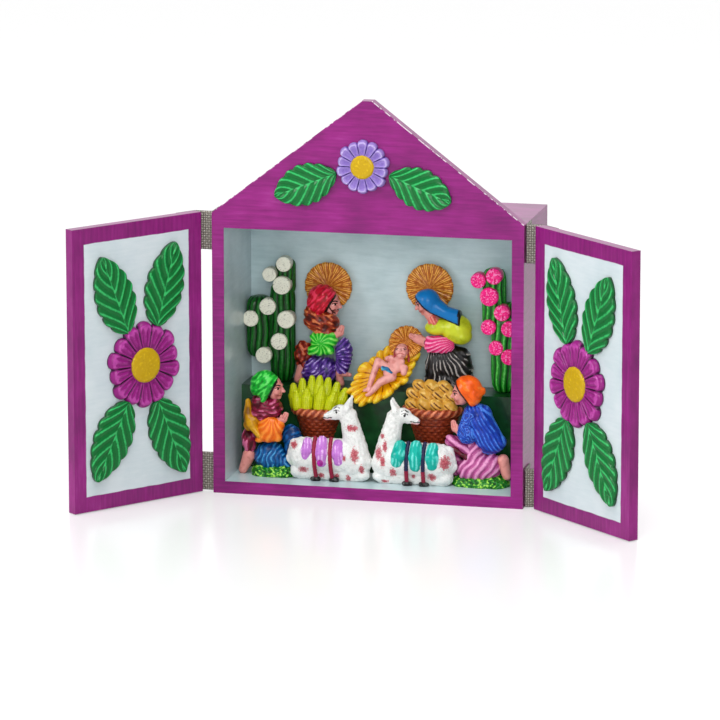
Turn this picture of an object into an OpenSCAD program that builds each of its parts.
// Folding box shrine: a wooden box with a gable, two cloth-hinged doors and a modelled scene inside.
// Millimetres. The origin is the centre of the underside, the front looks to -Y, and Z is up.

/* [Box] */
// Width across the side boards
box_w = 130; // [127:0.5:145]
// Height of the side boards, up to the shoulders
box_h = 117.5; // [114:0.5:135]
// Depth from the front edges to the back face
box_d = 48; // [47:0.5:60]
// Thickness of the base board and the side boards
board_t = 5; // [4:0.25:6]
// Thickness of the top board
top_t = 6.25; // [5:0.25:8]
// Thickness of the back panel
back_t = 3; // [2:0.25:3.5]

/* [Gable] */
// Rise of the gable above the shoulders
gable_rise = 48.25; // [44:0.25:60]
// Thickness of the gable board
gable_t = 5; // [4:0.25:8]
// Width of the blunt tip
gable_tip_w = 4.5; // [2:0.5:10]

/* [Step] */
// Height of the step above the floor of the box
step_h = 35; // [32:0.5:40]
// Depth of the step
step_d = 17; // [16.5:0.25:20]

/* [Doors] */
// Thickness of a door
door_t = 4.25; // [3:0.25:6]
// Gap behind a closed door, and between the two closed doors
door_gap = 0.3; // [0.2:0.05:0.8]
// Gap under the doors
door_lift = 0.4; // [0.2:0.1:1.5]
// Opening angle of the left door as it stands
left_open = 128; // [95:1:175]
// Opening angle of the right door as it stands
right_open = 137; // [95:1:175]
// Hinge axis, outwards from the side board
hinge_out = 2.2; // [1.8:0.1:3]
// Hinge axis, behind the front edges
hinge_back = 0.9; // [0.5:0.1:2]

/* [Hinge strips] */
// Height of a strip
strip_h = 16; // [10:0.5:24]
// Thickness of the woven ribbon
strip_t = 0.6; // [0.4:0.05:1]
// Length glued to each board
strip_hold = 10; // [6:0.5:14]
// Where the glue starts, behind the front edge
strip_set = 3; // [2:0.25:5]
// Gap between a strip and the door that it holds
strip_gap = 0.1; // [0.05:0.05:0.2]

/* [Door ornament] */
// Radius of a door flower
door_flower_r = 17.8; // [15:0.2:19]
// Radius of its centre
door_centre_r = 7.3; // [5:0.1:9]
// Height of the relief on the doors
door_relief = 2.4; // [1.6:0.1:3]
// Petals of a flower
petals = 14; // [10:1:18]
// Length of a door leaf
door_leaf_l = 35; // [26:0.5:36]
// Width of a door leaf
door_leaf_w = 19; // [12:0.5:20]
// Lobes along each side of a leaf
leaf_lobes = 6; // [4:1:9]

/* [Gable ornament] */
// Radius of the gable flower
gable_flower_r = 11; // [8:0.25:12]
// Radius of its centre
gable_centre_r = 5; // [3:0.25:6]
// Height of the relief on the gable
gable_relief = 2.2; // [1.4:0.1:3]
// Length of a gable leaf
gable_leaf_l = 27.5; // [20:0.5:28]
// Width of a gable leaf
gable_leaf_w = 17; // [11:0.5:18]

/* [Figures] */
// Radius of the halos of the kneeling pair
halo_r = 10.1; // [8:0.1:10.5]
// Radius of the child's halo
child_halo_r = 7; // [5.5:0.1:7.5]
// Thickness of a halo
halo_t = 2; // [1.4:0.1:2.4]
// Radial pleats round a halo
pleats = 20; // [14:1:30]
// Length of the straw bed
bed_l = 36; // [32:0.5:38]
// Width of the straw bed
bed_w = 19.5; // [18:0.5:21]
// Tufts round the straw bed
bed_tufts = 22; // [16:1:30]
// Height of the grass mounds
grass_h = 3.5; // [2.5:0.25:4.5]

/* [Baskets] */
// Height of the corn basket
corn_basket_h = 27; // [25:0.5:29]
// Radius of its rim
corn_basket_r = 11.6; // [10.5:0.1:12.5]
// Height of the potato basket
potato_basket_h = 29.5; // [27:0.5:31]
// Radius of its rim
potato_basket_r = 13; // [12:0.1:13.5]

/* [Hidden] */

// Places that follow from the box
front = -box_d / 2;
back = box_d / 2 - back_t;
floor_z = board_t;
step_z = board_t + step_h;
step_front = back - step_d;
inner_w = box_w - 2 * board_t;
inner_top = box_h - top_t;

// Doors: two of them close over the front with a gap between them
door_w = (box_w - door_gap) / 2;
door_h = box_h - door_lift;
hinge_x = box_w / 2 + hinge_out;
hinge_y = front + hinge_back;

// Middle of a door's ornament, from its hinge edge and from the floor, as shares of the door
flower_u = 0.452 * door_w;
flower_z = door_lift + 0.492 * door_h;
leaf_base_r = door_flower_r - 1.2;
// Direction of each door leaf away from the flower, and where its stalk leaves the flower
leaf_angles = [71, 106, 244, 296];
leaf_roots = [60, 112, 248, 301];

// Clearances and overlaps used throughout
touch = 0.1;
cut = 100;
wall_clear = 0.5;

// Facets round the turned pieces
button_facets = 32;
basket_facets = 48;

// Depth planes of the scene, from what carries it
halo_y = back - 2 - halo_t;
kneel_y = halo_y - 5.2;
llama_y = front + 12.8;
herder_y = front + 17.2;
basket_axis_y = step_front + 2.4;

// Places across the box, as shares of its inner width
man_x = -0.217 * inner_w;
woman_x = 0.217 * inner_w;
left_herder_x = -0.382 * inner_w;
right_herder_x = 0.366 * inner_w;
left_llama_x = -0.157 * inner_w;
right_llama_x = 0.14 * inner_w;
corn_x = -0.227 * inner_w;
potato_x = 0.18 * inner_w;

// Building blocks

// Radius of a ball whose flat sides, not its corners, lie at r
function flats(r) = r / cos(180 / $fn);

// A tapering limb between two points, with a ball at each end
module limb(a, b, ra, rb) {
    hull() {
        translate(a) sphere(flats(ra));
        translate(b) sphere(flats(rb));
    }
}

// A round lump with a radius along each axis
module lump(at, radii) {
    translate(at) hull() scale(radii) sphere(flats(1));
}

// Closed solid through rings of points, each ring with the same count, the first and last of them flat
module rings_solid(rings) {
    n = len(rings[0]);
    last = len(rings) - 1;
    walls = [for (k = [0:last - 1], i = [0:n - 1])
        let (j = (i + 1) % n, a = k * n, b = (k + 1) * n)
        each [[a + i, b + i, b + j], [a + i, b + j, a + j]]];
    polyhedron(
        points = [for (r = rings) each r],
        faces = concat([[for (i = [0:n - 1]) i]], walls, [[for (i = [n - 1:-1:0]) last * n + i]]));
}

// Share of a lobe's height round an edge with a number of lobes: 1 on a crest, 0 in a notch
function lobe(a, count) = abs(cos(a * count / 2));

// Flower relief: a scalloped disc with rounded petals and a flat seat for its centre
module petal_disc(r, seat_r, h, count) {
    n = count * 3;
    function ring(scale, depth, z_notch, z_crest) = [for (i = [0:n - 1])
        let (a = (i + 0.5) * 360 / n, c = lobe(a, count), q = scale * (1 - depth * (1 - c)))
        [r * q * cos(a), r * q * sin(a), z_notch + (z_crest - z_notch) * c]];
    seat = [for (i = [0:n - 1]) seat_r * [cos((i + 0.5) * 360 / n), sin((i + 0.5) * 360 / n)]];
    rings_solid([
        ring(1, 0.13, 0, 0),
        ring(1, 0.13, h * 0.4, h * 0.55),
        ring(0.86, 0.04, h * 0.55, h),
        [for (p = seat) [p.x, p.y, h * 0.8]]]);
}

// Flower centre: a low button with a shallow dome, standing on the flower's seat
module centre_dome(r, h) {
    shares = [1, 0.85, 0.6, 0.25];
    function top(q) = h * (0.5 + 0.5 * sqrt(1 - q * q));
    $fn = button_facets;
    cylinder(r = r, h = top(1));
    for (i = [0:2]) translate([0, 0, top(shares[i])])
        cylinder(r1 = r * shares[i], r2 = r * shares[i + 1], h = top(shares[i + 1]) - top(shares[i]));
}

// Leaf relief from its stalk at the origin to its tip along X: lobed edge, domed blade, sunk midrib
module leaf(l, w, h, point) {
    n = leaf_lobes * 4;
    function along(i) = 1 - abs(1 - i * 2 / n);
    function edge(i) =
        let (x = (1 - cos(180 * along(i))) / 2, side = i < n / 2 ? -1 : 1,
            bulge = pow(sin(180 * pow(x, point)), 0.62))
        [x * l, side * w / 2 * bulge * (i % 2 == 0 ? 0.9 : 1)];
    function ring(length, width, z, ripple) = [for (i = [0:n - 1])
        [l / 2 + (edge(i).x - l / 2) * length, edge(i).y * width, z + ripple * (i % 2 - 0.5)]];
    rings_solid([
        ring(1, 1, 0, 0),
        ring(1, 1, h * 0.45, 0),
        ring(0.93, 0.62, h * 0.9, h * 0.2),
        ring(0.86, 0.1, h * 0.75, 0)]);
}

// Round halo with radial pleats, its back on the XY plane
module halo(r) {
    n = pleats * 2;
    function ring(q, z, ripple) = [for (i = [0:n - 1])
        let (a = i * 360 / n, up = i % 2)
        [r * q * (1 - 0.03 * (1 - up)) * cos(a), r * q * (1 - 0.03 * (1 - up)) * sin(a), z + ripple * up]];
    rings_solid([
        ring(1, 0, 0),
        ring(1, halo_t * 0.6, 0),
        ring(0.88, halo_t * 0.75, halo_t * 0.25),
        ring(0.3, halo_t, 0)]);
}

// Fluted cactus column with a rounded top and foot, one rib after another round its axis
module fluted_column(r, h, ribs) {
    half = 180 / ribs;
    profile = [[0.85, 0], [1, 0.3], [0.95, 0.8], [0.5, 1]];
    // Core, groove, crest and groove of one rib, as shares of the radius and angles; ribs run into each other
    rib = [[0.2, 180], [0.83, -half - 3], [1, 0], [0.83, half + 3]];
    for (i = [0:ribs - 1]) rotate([0, 0, 2 * half * i]) hull() rings_solid([for (p = profile)
        [for (q = rib) [p[0] * r * q[0] * cos(q[1]), p[0] * r * q[0] * sin(q[1]), p[1] * h]]]);
}

// Box

module board(size, at) {
    translate(at) cube(size);
}

module base_board() {
    color("darkmagenta") board([box_w, box_d, board_t], [-box_w / 2, front, 0]);
}

module side_board(side) {
    x = side < 0 ? -box_w / 2 : box_w / 2 - board_t;
    color("darkmagenta") board([board_t, box_d, box_h - board_t], [x, front, board_t]);
}

module top_board() {
    color("darkmagenta") board([inner_w, box_d, top_t], [-inner_w / 2, front, inner_top]);
}

module back_panel() {
    color("lightsteelblue") board([inner_w, back_t, inner_top - floor_z], [-inner_w / 2, back, floor_z]);
}

module gable_board() {
    half = box_w / 2;
    tip = gable_tip_w / 2;
    color("darkmagenta") translate([0, front + gable_t, box_h]) rotate([90, 0, 0])
        linear_extrude(gable_t)
            polygon([[-half, 0], [half, 0], [tip, gable_rise], [-tip, gable_rise]]);
}

module back_step() {
    color("darkgreen") board([inner_w, step_d, step_h], [-inner_w / 2, step_front, floor_z]);
}

// Doors

// Puts a part drawn on a closed right door, measured from its hinge edge, where the open door stands
module on_door(side, open) {
    mirror([side < 0 ? 1 : 0, 0, 0])
        translate([hinge_x, hinge_y, 0]) rotate([0, 0, open])
            translate([-hinge_out, -hinge_back - door_gap, 0]) children();
}

// The door's inner face as a drawing plane: X away from the hinge, Y up, Z out of the face
module on_inner_face(side, open, u, z) {
    on_door(side, open) translate([-u, 0, z]) rotate([90, 0, 180]) children();
}

module door(side, open) {
    color("darkmagenta") on_door(side, open)
        translate([-door_w, -door_t, door_lift]) cube([door_w, door_t, door_h]);
}

module door_flower(side, open) {
    color("mediumvioletred") on_inner_face(side, open, flower_u, flower_z)
        petal_disc(door_flower_r, door_centre_r, door_relief, petals);
}

module door_flower_centre(side, open) {
    color("gold") on_inner_face(side, open, flower_u, flower_z)
        translate([0, 0, door_relief * 0.8]) centre_dome(door_centre_r - touch, door_relief * 0.4);
}

module door_leaf(side, open, which) {
    root = leaf_roots[which];
    color("green") on_inner_face(side, open, flower_u, flower_z)
        difference() {
            translate(leaf_base_r * [cos(root), sin(root), 0]) rotate([0, 0, leaf_angles[which]])
                leaf(door_leaf_l, door_leaf_w, door_relief, 0.85);
            translate([0, 0, -1]) cylinder(r = door_flower_r + touch, h = door_relief + 2, $fn = 64);
        }
}

// Ribbon from the side board's outer face, across the gap, to the door's outer face
module hinge_strip(side, open, z) {
    corner_x = strip_t - hinge_out;
    corner_y = -hinge_back - door_gap - door_t - strip_gap;
    mid = strip_t / 2;
    // Where the ribbon's middle leaves the side board, and where it meets and follows the door
    a = [box_w / 2 + mid, front + strip_set];
    b = [hinge_x, hinge_y] + turn([corner_x, corner_y - mid], open);
    c = [hinge_x, hinge_y] + turn([corner_x - strip_hold, corner_y - mid], open);
    middle = [[a.x, a.y + strip_hold], a, b, c];
    outer = beside(middle, mid);
    inner = beside(middle, -mid);
    color("gray") mirror([side < 0 ? 1 : 0, 0, 0]) translate([0, 0, z]) linear_extrude(strip_h)
        polygon(concat(outer, [for (i = [3:-1:0]) inner[i]]));
}

// A point turned about the origin by an angle
function turn(p, angle) = [p.x * cos(angle) - p.y * sin(angle), p.x * sin(angle) + p.y * cos(angle)];

// Unit vector square to the way from one point to the next
function square_to(p, q) = [p.y - q.y, q.x - p.x] / norm(q - p);

// A bent line at a distance beside a line through points, with mitred corners
function beside(line, d) = [for (i = [0:len(line) - 1])
    let (before = i > 0 ? square_to(line[i - 1], line[i]) : square_to(line[0], line[1]),
        after = i < len(line) - 1 ? square_to(line[i], line[i + 1]) : before,
        m = (before + after) / 2)
    line[i] + d * m / (m * m)];

// Gable ornament

gable_flower_z = box_h + gable_rise * 0.445;

// The front face of the gable as a drawing plane, round the flower
module on_gable() {
    translate([-1.5, front, gable_flower_z]) rotate([90, 0, 0]) children();
}

module gable_flower() {
    color("mediumpurple") on_gable() petal_disc(gable_flower_r, gable_centre_r, gable_relief, petals);
}

module gable_flower_centre() {
    color("gold") on_gable() translate([0, 0, gable_relief * 0.8])
        centre_dome(gable_centre_r - touch, gable_relief * 0.4);
}

module gable_leaf(side) {
    color("green") on_gable() mirror([side < 0 ? 1 : 0, 0, 0])
        translate([gable_flower_r + touch, -3, 0]) rotate([0, 0, -22])
            leaf(gable_leaf_l, gable_leaf_w, gable_relief, 1);
}

// Scene on the step

// Stands a figure on a surface, facing along X or mirrored, with its back cut at a plane
module figure(at, side, facets, back_cut) {
    difference() {
        translate(at) mirror([side < 0 ? 1 : 0, 0, 0]) union() {
            $fn = facets;
            children();
        }
        translate([-cut, -cut, at.z - cut]) cube([2 * cut, 2 * cut, cut]);
        translate([-cut, back_cut, 0]) cube([2 * cut, cut, 2 * cut]);
    }
}

// Kneeling on one knee with joined hands, facing X: legs, body, arms and head
module praying_body(head_z, knee_y, foot_l) {
    // Thigh and raised knee
    limb([-4.4, 0, 5.6], [1.6, 0, 5.8], 5.4, 5);
    limb([8.2, knee_y, 9.4], [8.3, knee_y, 15.6], 4, 3.7);
    // Feet, shin and the cloth hanging behind
    for (l = [
        [[-11.5, 0, 1.7], [-8, 0.4, 4.6], 1.8, 2.4],
        [[7, knee_y, 2], [8, knee_y, 8], 2.1, 3.2],
        [[7, knee_y, 1.5], [7 + foot_l, knee_y, 1.4], 1.9, 1.5],
        [[-10, 0.2, 8.6], [-9.3, 0.2, 14.5], 2.9, 2.6]]) limb(l[0], l[1], l[2], l[3], $fn = 6);
    // Trunk widening to the shoulders, and the puffed sleeve
    hull() {
        lump([-2, 0, 12], [5.4, 5, 5.4]);
        lump([-2.2, 0, 27.2], [7.2, 5.2, 5.2]);
    }
    lump([-0.2, -3, 17.6], [6, 3.6, 5.3]);
    // Forearm, joined hands and neck
    for (l = [
        [[3, -3, 18.6], [7.2, -2.2, 22.4], 2.5, 1.9],
        [[7, -1.8, 22.4], [8.8, -1.6, 26], 1.9, 1.3],
        [[-0.6, 0, 28], [1, -0.6, head_z - 2], 3.4, 3.4]]) limb(l[0], l[1], l[2], l[3], $fn = 6);
    head([1.8, -0.6, head_z]);
}

// Head with a plain nose, facing X
module head(at) {
    lump(at, [4.4, 4, 5]);
    lump(at + [4.1, 0, -0.3], [1, 0.9, 1.2], $fn = 6);
}

// Close-fitting cap that comes down over the neck
module ear_flap_cap(head_z) {
    hull() {
        lump([-1.4, -0.3, head_z + 1.6], [5.9, 5.1, 5.8]);
        lump([-3.4, -0.4, head_z - 6], [3.8, 4.2, 4.2]);
    }
}

module kneeling_man() {
    color("indianred") figure([man_x, kneel_y, step_z], 1, 8, halo_y) {
        praying_body(35.2, -0.6, 4.2);
        ear_flap_cap(35.2);
    }
}

module kneeling_man_halo() {
    color("peru") translate([man_x - 0.2, halo_y + halo_t, step_z + 40.3]) rotate([90, 0, 0]) halo(halo_r);
}

module kneeling_woman() {
    color("steelblue") figure([woman_x, kneel_y, step_z], -1, 8, halo_y) {
        // Wide skirt spread over the legs
        hull() {
            limb([-6.4, 0, 5], [5, 0, 5], 5.6, 5.4);
            limb([-4.6, 0, 13], [3, 0, 13], 5.2, 5.4);
        }
        // Body leaning forwards under the shawl
        hull() {
            lump([-1.6, 0, 16], [5.8, 5, 5.4]);
            lump([-1.6, 0, 24.4], [8.2, 5, 6.4]);
        }
        // Sleeve, forearm and reaching hand
        lump([3.4, -3, 19.4], [6.4, 3.4, 3.8]);
        limb([8.6, -2.8, 19.4], [12.8, -2.6, 21.6], 2, 1.6, $fn = 6);
        lump([14.2, -2.6, 22.6], [1.9, 1.1, 1.3], $fn = 6);
        // Neck and head
        limb([4.6, 0, 28], [7.6, -0.4, 33.6], 3.4, 3.4, $fn = 6);
        head([9.2, -0.6, 37]);
        // Veil over the head and down the back
        lump([7.2, 0, 38.4], [5.6, 5.2, 5.2]);
        limb([5.6, -0.4, 37], [-1.6, -0.6, 30.4], 5, 4.6);
    }
}

module kneeling_woman_halo() {
    color("peru") translate([woman_x - 9.2, halo_y + halo_t, step_z + 41.6]) rotate([90, 0, 0])
        halo(halo_r);
}

// The straw bed leans over the front edge of the step: X along it to the head, Z out of it
module on_bed() {
    translate([0, step_front + 2.4, step_z + 6.6]) rotate([58, 0, 0]) rotate([0, 0, 46]) children();
}

bed_t = 3.2;

// Boat-shaped bed with a ring of tufts
module bed_shape() {
    n = bed_tufts * 2;
    function ring(q, z, ripple) = [for (i = [0:n - 1])
        let (a = i * 360 / n, up = i % 2)
        [bed_l / 2 * q * (0.93 + 0.07 * up) * cos(a), bed_w / 2 * q * (0.93 + 0.07 * up) * sin(a),
            z + ripple * up]];
    on_bed() rings_solid([
        ring(0.8, -bed_t, 0),
        ring(1, -bed_t * 0.2, 0),
        ring(0.86, bed_t * 0.3, bed_t * 0.2),
        ring(0.62, 0, 0)]);
}

module straw_bed() {
    color("goldenrod") difference() {
        bed_shape();
        translate([-cut, step_front, step_z - cut]) cube([2 * cut, cut, cut]);
    }
}

module child() {
    color("salmon") difference() {
        on_bed() union() {
            $fn = 7;
            // Legs, loincloth, trunk and arms
            for (s = [-1, 1]) {
                limb([-11, s * 1.5, 1.2], [-6, s * 2, 2.2], 1.2, 1.7, $fn = 6);
                limb([-6, s * 1.9, 2.3], [-1.4, s * 1.3, 2], 1.7, 2.1, $fn = 6);
            }
            limb([-0.6, 0, 1.8], [5.4, 0.2, 2], 3, 3.2);
            for (s = [-1, 1]) limb([6, s * 3 + 0.2, 1.8], [1.4, s * 3.6, 1.8], 1.4, 1.2, $fn = 6);
            child_head();
        }
        bed_shape();
        on_bed() translate([-cut, -cut, -2 * cut]) cube([2 * cut, 2 * cut, 2 * cut]);
    }
}

// Neck and head
module child_head() {
    limb([6, 0.2, 2], [8.6, 0.8, 2.6], 1.9, 1.9);
    lump([11.4, 1.2, 3.2], [3.7, 3.2, 3.2]);
}

module child_halo() {
    color("peru") difference() {
        on_bed() translate([15.4, 3.4, bed_t / 2 + touch]) halo(child_halo_r);
        on_bed() child_head($fn = 7);
    }
}

// Cacti

// Lobes of each clump: place across, foot height, radius, height
white_lobes = [[4.4, 0, 5.4, 43], [5.8, 37, 4.2, 15], [-4.6, 10, 5.2, 25]];
pink_lobes = [[3.2, 0, 5.8, 34], [-1.4, 24, 5, 28], [6.8, 18, 4.2, 20]];

// Disc flowers: place across, height, radius
white_discs = [[6.3, 50.6, 3.2], [0.2, 46, 3], [5.4, 41.6, 3.8], [-0.6, 32.4, 3.5],
    [-6.6, 27, 3.4], [7.2, 27.2, 3.7], [4.2, 17.8, 3.5], [-2.4, 11.6, 3.4]];
pink_discs = [[-7, 47.4, 3.2], [-0.4, 49.4, 3.4], [-2.4, 40.8, 3.9], [3, 34.2, 3.4],
    [-2.6, 28, 3.2], [6, 27.6, 3.3], [0.6, 19.4, 3.1], [6, 15.8, 3.3]];

cactus_y = back - wall_clear - 6.3;
white_x = -inner_w / 2 + wall_clear + 10.2;
pink_x = inner_w / 2 - wall_clear - 13.2;

module cactus_lobes(lobes) {
    for (l = lobes) translate([l[0], 0, l[1]]) fluted_column(l[2], l[3], 7);
    // Bridge that joins the lobes inside
    for (i = [1:len(lobes) - 1])
        limb([lobes[0][0], 0, lobes[i][1] + 4.5], [lobes[i][0], 0, lobes[i][1] + 6], 2.6, 2.6, $fn = 10);
}

module cactus(x, lobes) {
    color("darkgreen") translate([x, cactus_y, step_z]) cactus_lobes(lobes);
}

module disc_flowers(x, lobes, discs, colour) {
    color(colour) translate([x, cactus_y, step_z]) difference() {
        for (d = discs) translate([d[0], -6.4, d[1]]) rotate([-90, 0, 0]) hull()
            cylinder(r = d[2], h = 5, $fn = 10);
        cactus_lobes(lobes);
    }
}

// Scene on the floor

// Low mound of grass with sloping sides
module grass_mound(w, d) {
    hull() {
        for (s = [-1, 1]) translate([s * (w / 2 - d / 2), 0, 0]) cylinder(d1 = d, d2 = d - 2, h = grass_h, $fn = 16);
    }
}

module herder_mound(side) {
    if (side < 0) translate([left_herder_x + 1.6, herder_y, floor_z]) grass_mound(17, 12);
    else translate([right_herder_x + 1.6, herder_y, floor_z]) grass_mound(19, 12);
}

module left_herder() {
    color("seagreen") difference() {
        figure([left_herder_x, herder_y, floor_z], 1, 8, herder_y + 6) {
            translate([-0.6, 0, 1.8]) praying_body(34.8, 1.8, 1);
            translate([-0.6, 0, 1.8]) ear_flap_cap(34.8);
            // Bare foot reaching back to the floor, and the shawl tied round the back
            limb([-10.4, -1, 1.6], [-8.6, -0.6, 6.4], 2.1, 2.7, $fn = 6);
            limb([-7.6, -1.4, 29], [-6.6, -2, 20.5], 3, 3.2, $fn = 6);
        }
        herder_mound(-1);
    }
}

module right_herder() {
    color("royalblue") difference() {
        figure([right_herder_x, herder_y, floor_z], -1, 8, herder_y + 6) {
            // Rear foot, thighs, raised knee and shin
            limb([-9.6, -0.4, 5], [-8, -0.2, 9], 2.2, 3, $fn = 6);
            limb([-3.6, 0, 8], [4.6, 0, 7.6], 5.2, 4.8);
            limb([9.6, 1.8, 13], [10.2, 1.8, 17.4], 4, 3.6);
            limb([8.6, 2.3, 5], [9.4, 1.8, 11], 2.4, 3.4, $fn = 6);
            // Trunk, and the cape from the shoulders over the back and the arm
            hull() {
                lump([-1, 0, 12], [5.6, 5.2, 5.6]);
                lump([1.4, 0, 29.4], [7, 5.4, 5.4]);
            }
            limb([-1.6, -0.2, 27], [-5.6, -0.2, 17.6], 6, 5.2);
            lump([2, -3, 21.6], [5.4, 3.4, 6]);
            // Forearm, joined hands and neck
            limb([6, -2.6, 20.6], [10, -2, 22.4], 2.4, 1.9, $fn = 6);
            limb([10, -1.8, 22.4], [11.8, -1.6, 26.6], 1.9, 1.3, $fn = 6);
            limb([3.6, 0, 30], [6, -0.4, 36], 3.4, 3.6, $fn = 6);
            // Head, cap and its ear flap
            head([7.4, -0.6, 38.6]);
            lump([4.8, -0.2, 40], [6, 5.1, 6]);
            limb([3.4, -2.8, 38], [2.4, -3, 34.4], 2.6, 1.8, $fn = 6);
        }
        herder_mound(1);
    }
}

// Llama at rest with its chest towards X and its head turned back, pads on its flank
module llama_shape() {
    $fn = 8;
    // Body, folded legs, chest and tail
    limb([-10.5, 0, 10], [7, 0, 10], 7.4, 7.2);
    limb([-12.2, 0, 3.4], [12.4, 0, 3.4], 4.2, 4);
    limb([-15, 0, 14], [-15.4, 0, 7], 2.4, 2.2, $fn = 6);
    // Neck, head, muzzle and ears
    limb([12, 0, 7], [8.4, 0, 26], 5.8, 3.6);
    lump([6, 0, 28.6], [4.6, 3.8, 3.4]);
    limb([4, 0, 28], [-0.4, 0, 26.8], 2.9, 1.9);
    limb([7.4, -2, 30], [8.6, -1.9, 35], 1.6, 0.7, $fn = 6);
    limb([7.6, 2, 30], [8.8, 1.9, 35], 1.6, 0.7, $fn = 6);
    // Pads and hooves on the side that shows
    for (p = [[-10, 12.4], [-3.6, 11.4], [2.8, 12.6]])
        limb([p[0], -6.2, p[1] - 2.2], [p[0], -5.8, p[1] + 2.2], 2.5, 2.5, $fn = 6);
    for (x = [-6.4, 1.3]) lump([x, -4.6, 1], [1.9, 1.6, 1.4], $fn = 6);
}

module llama(x, y, side) {
    color("white") difference() {
        translate([x, y, floor_z]) mirror([side < 0 ? 1 : 0, 0, 0]) scale([1, 0.74, 1]) llama_shape();
        translate([-cut, -cut, floor_z - cut]) cube([2 * cut, 2 * cut, cut]);
    }
}

module left_llama() {
    llama(left_llama_x, llama_y, 1);
}

module right_llama() {
    llama(right_llama_x, llama_y, -1);
}

// Baskets

seat_drop = 1.5;

// Round basket with a rolled rim and a flat seat inside, cut flat against the step
module basket(x, h, rim_r) {
    foot_r = rim_r * 0.5;
    waist_r = rim_r * 0.6;
    waist_z = h * 0.52;
    rim_t = 1.5;
    color("sienna") difference() {
        translate([x, basket_axis_y, floor_z]) rotate_extrude($fn = basket_facets)
            polygon([[0, 0], [foot_r, 0], [waist_r, waist_z], [rim_r - rim_t, h - 2.4], [rim_r, h - 2],
                [rim_r, h - 0.5], [rim_r - 0.5, h], [rim_r - rim_t, h], [rim_r - rim_t, h - seat_drop],
                [0, h - seat_drop]]);
        translate([-cut, step_front, 0]) cube([2 * cut, cut, cut]);
    }
}

module corn_basket() {
    basket(corn_x, corn_basket_h, corn_basket_r);
}

module potato_basket() {
    basket(potato_x, potato_basket_h, potato_basket_r);
}

// Keeps what stands in a basket above its seat and in front of the step
module in_basket(x, h, rim_r) {
    rim_t = 1.5;
    difference() {
        translate([x, basket_axis_y, floor_z + h - seat_drop]) children();
        translate([-cut, step_front, 0]) cube([2 * cut, cut, cut * 2]);
        translate([-cut, -cut, 0]) cube([2 * cut, 2 * cut, floor_z + h - seat_drop]);
        translate([x, basket_axis_y, floor_z + h - seat_drop]) difference() {
            cylinder(r = rim_r + 1, h = seat_drop + touch, $fn = basket_facets);
            cylinder(r = rim_r - rim_t - touch, h = 3 * seat_drop, center = true, $fn = basket_facets);
        }
    }
}

module corn_cobs() {
    cob_l = 12;
    color("yellowgreen") in_basket(corn_x, corn_basket_h, corn_basket_r) union() {
        $fn = 7;
        for (k = [-3:3])
            limb([k * 2.9, -5 + abs(k) * 0.4, 1], [k * 3.7 + 0.8, -4.4, cob_l - abs(k) * 1.1], 2.8, 1.2);
        for (k = [-1, 1]) limb([k * 4.4, -7, 1], [k * 5.2, -7.2, cob_l * 0.55], 2.2, 1.3);
    }
}

module potatoes() {
    rows = [[4, -7.2, 2.6], [4, -5, 6.4], [3, -4.6, 9.8]];
    color("burlywood") in_basket(potato_x, potato_basket_h, potato_basket_r) union() {
        $fn = 6;
        for (r = rows, k = [0:r[0] - 1])
            translate([(k - (r[0] - 1) / 2) * 5.2, r[1] + abs(k - (r[0] - 1) / 2) * 0.9, r[2]])
                rotate([0, -40, 0]) lump([0, 0, 0], [3.7, 2.7, 2.6]);
    }
}

base_board();
side_board(-1);  // left_side_board
side_board(1);  // right_side_board
top_board();
back_panel();
gable_board();
back_step();
door(-1, left_open);  // left_door
door(1, right_open);  // right_door
hinge_strip(-1, left_open, box_h - strip_h);  // left_top_strip
hinge_strip(-1, left_open, door_lift);  // left_bottom_strip
hinge_strip(1, right_open, box_h - strip_h);  // right_top_strip
hinge_strip(1, right_open, door_lift);  // right_bottom_strip
gable_flower();
gable_flower_centre();
gable_leaf(-1);  // gable_left_leaf
gable_leaf(1);  // gable_right_leaf
door_flower(-1, left_open);  // left_door_flower
door_flower_centre(-1, left_open);  // left_door_flower_centre
door_flower(1, right_open);  // right_door_flower
door_flower_centre(1, right_open);  // right_door_flower_centre
door_leaf(-1, left_open, 0);  // left_door_leaf_1
door_leaf(-1, left_open, 1);  // left_door_leaf_2
door_leaf(-1, left_open, 2);  // left_door_leaf_3
door_leaf(-1, left_open, 3);  // left_door_leaf_4
door_leaf(1, right_open, 0);  // right_door_leaf_1
door_leaf(1, right_open, 1);  // right_door_leaf_2
door_leaf(1, right_open, 2);  // right_door_leaf_3
door_leaf(1, right_open, 3);  // right_door_leaf_4
kneeling_man();
kneeling_man_halo();
kneeling_woman();
kneeling_woman_halo();
child();
child_halo();
straw_bed();
cactus(white_x, white_lobes);  // white_flower_cactus
disc_flowers(white_x, white_lobes, white_discs, "ivory");  // white_cactus_flowers
cactus(pink_x, pink_lobes);  // pink_flower_cactus
disc_flowers(pink_x, pink_lobes, pink_discs, "deeppink");  // pink_cactus_flowers
left_herder();
right_herder();
left_llama();
right_llama();
corn_basket();
corn_cobs();
potato_basket();
potatoes();
color("forestgreen") herder_mound(-1);  // left_grass
color("forestgreen") herder_mound(1);  // right_grass
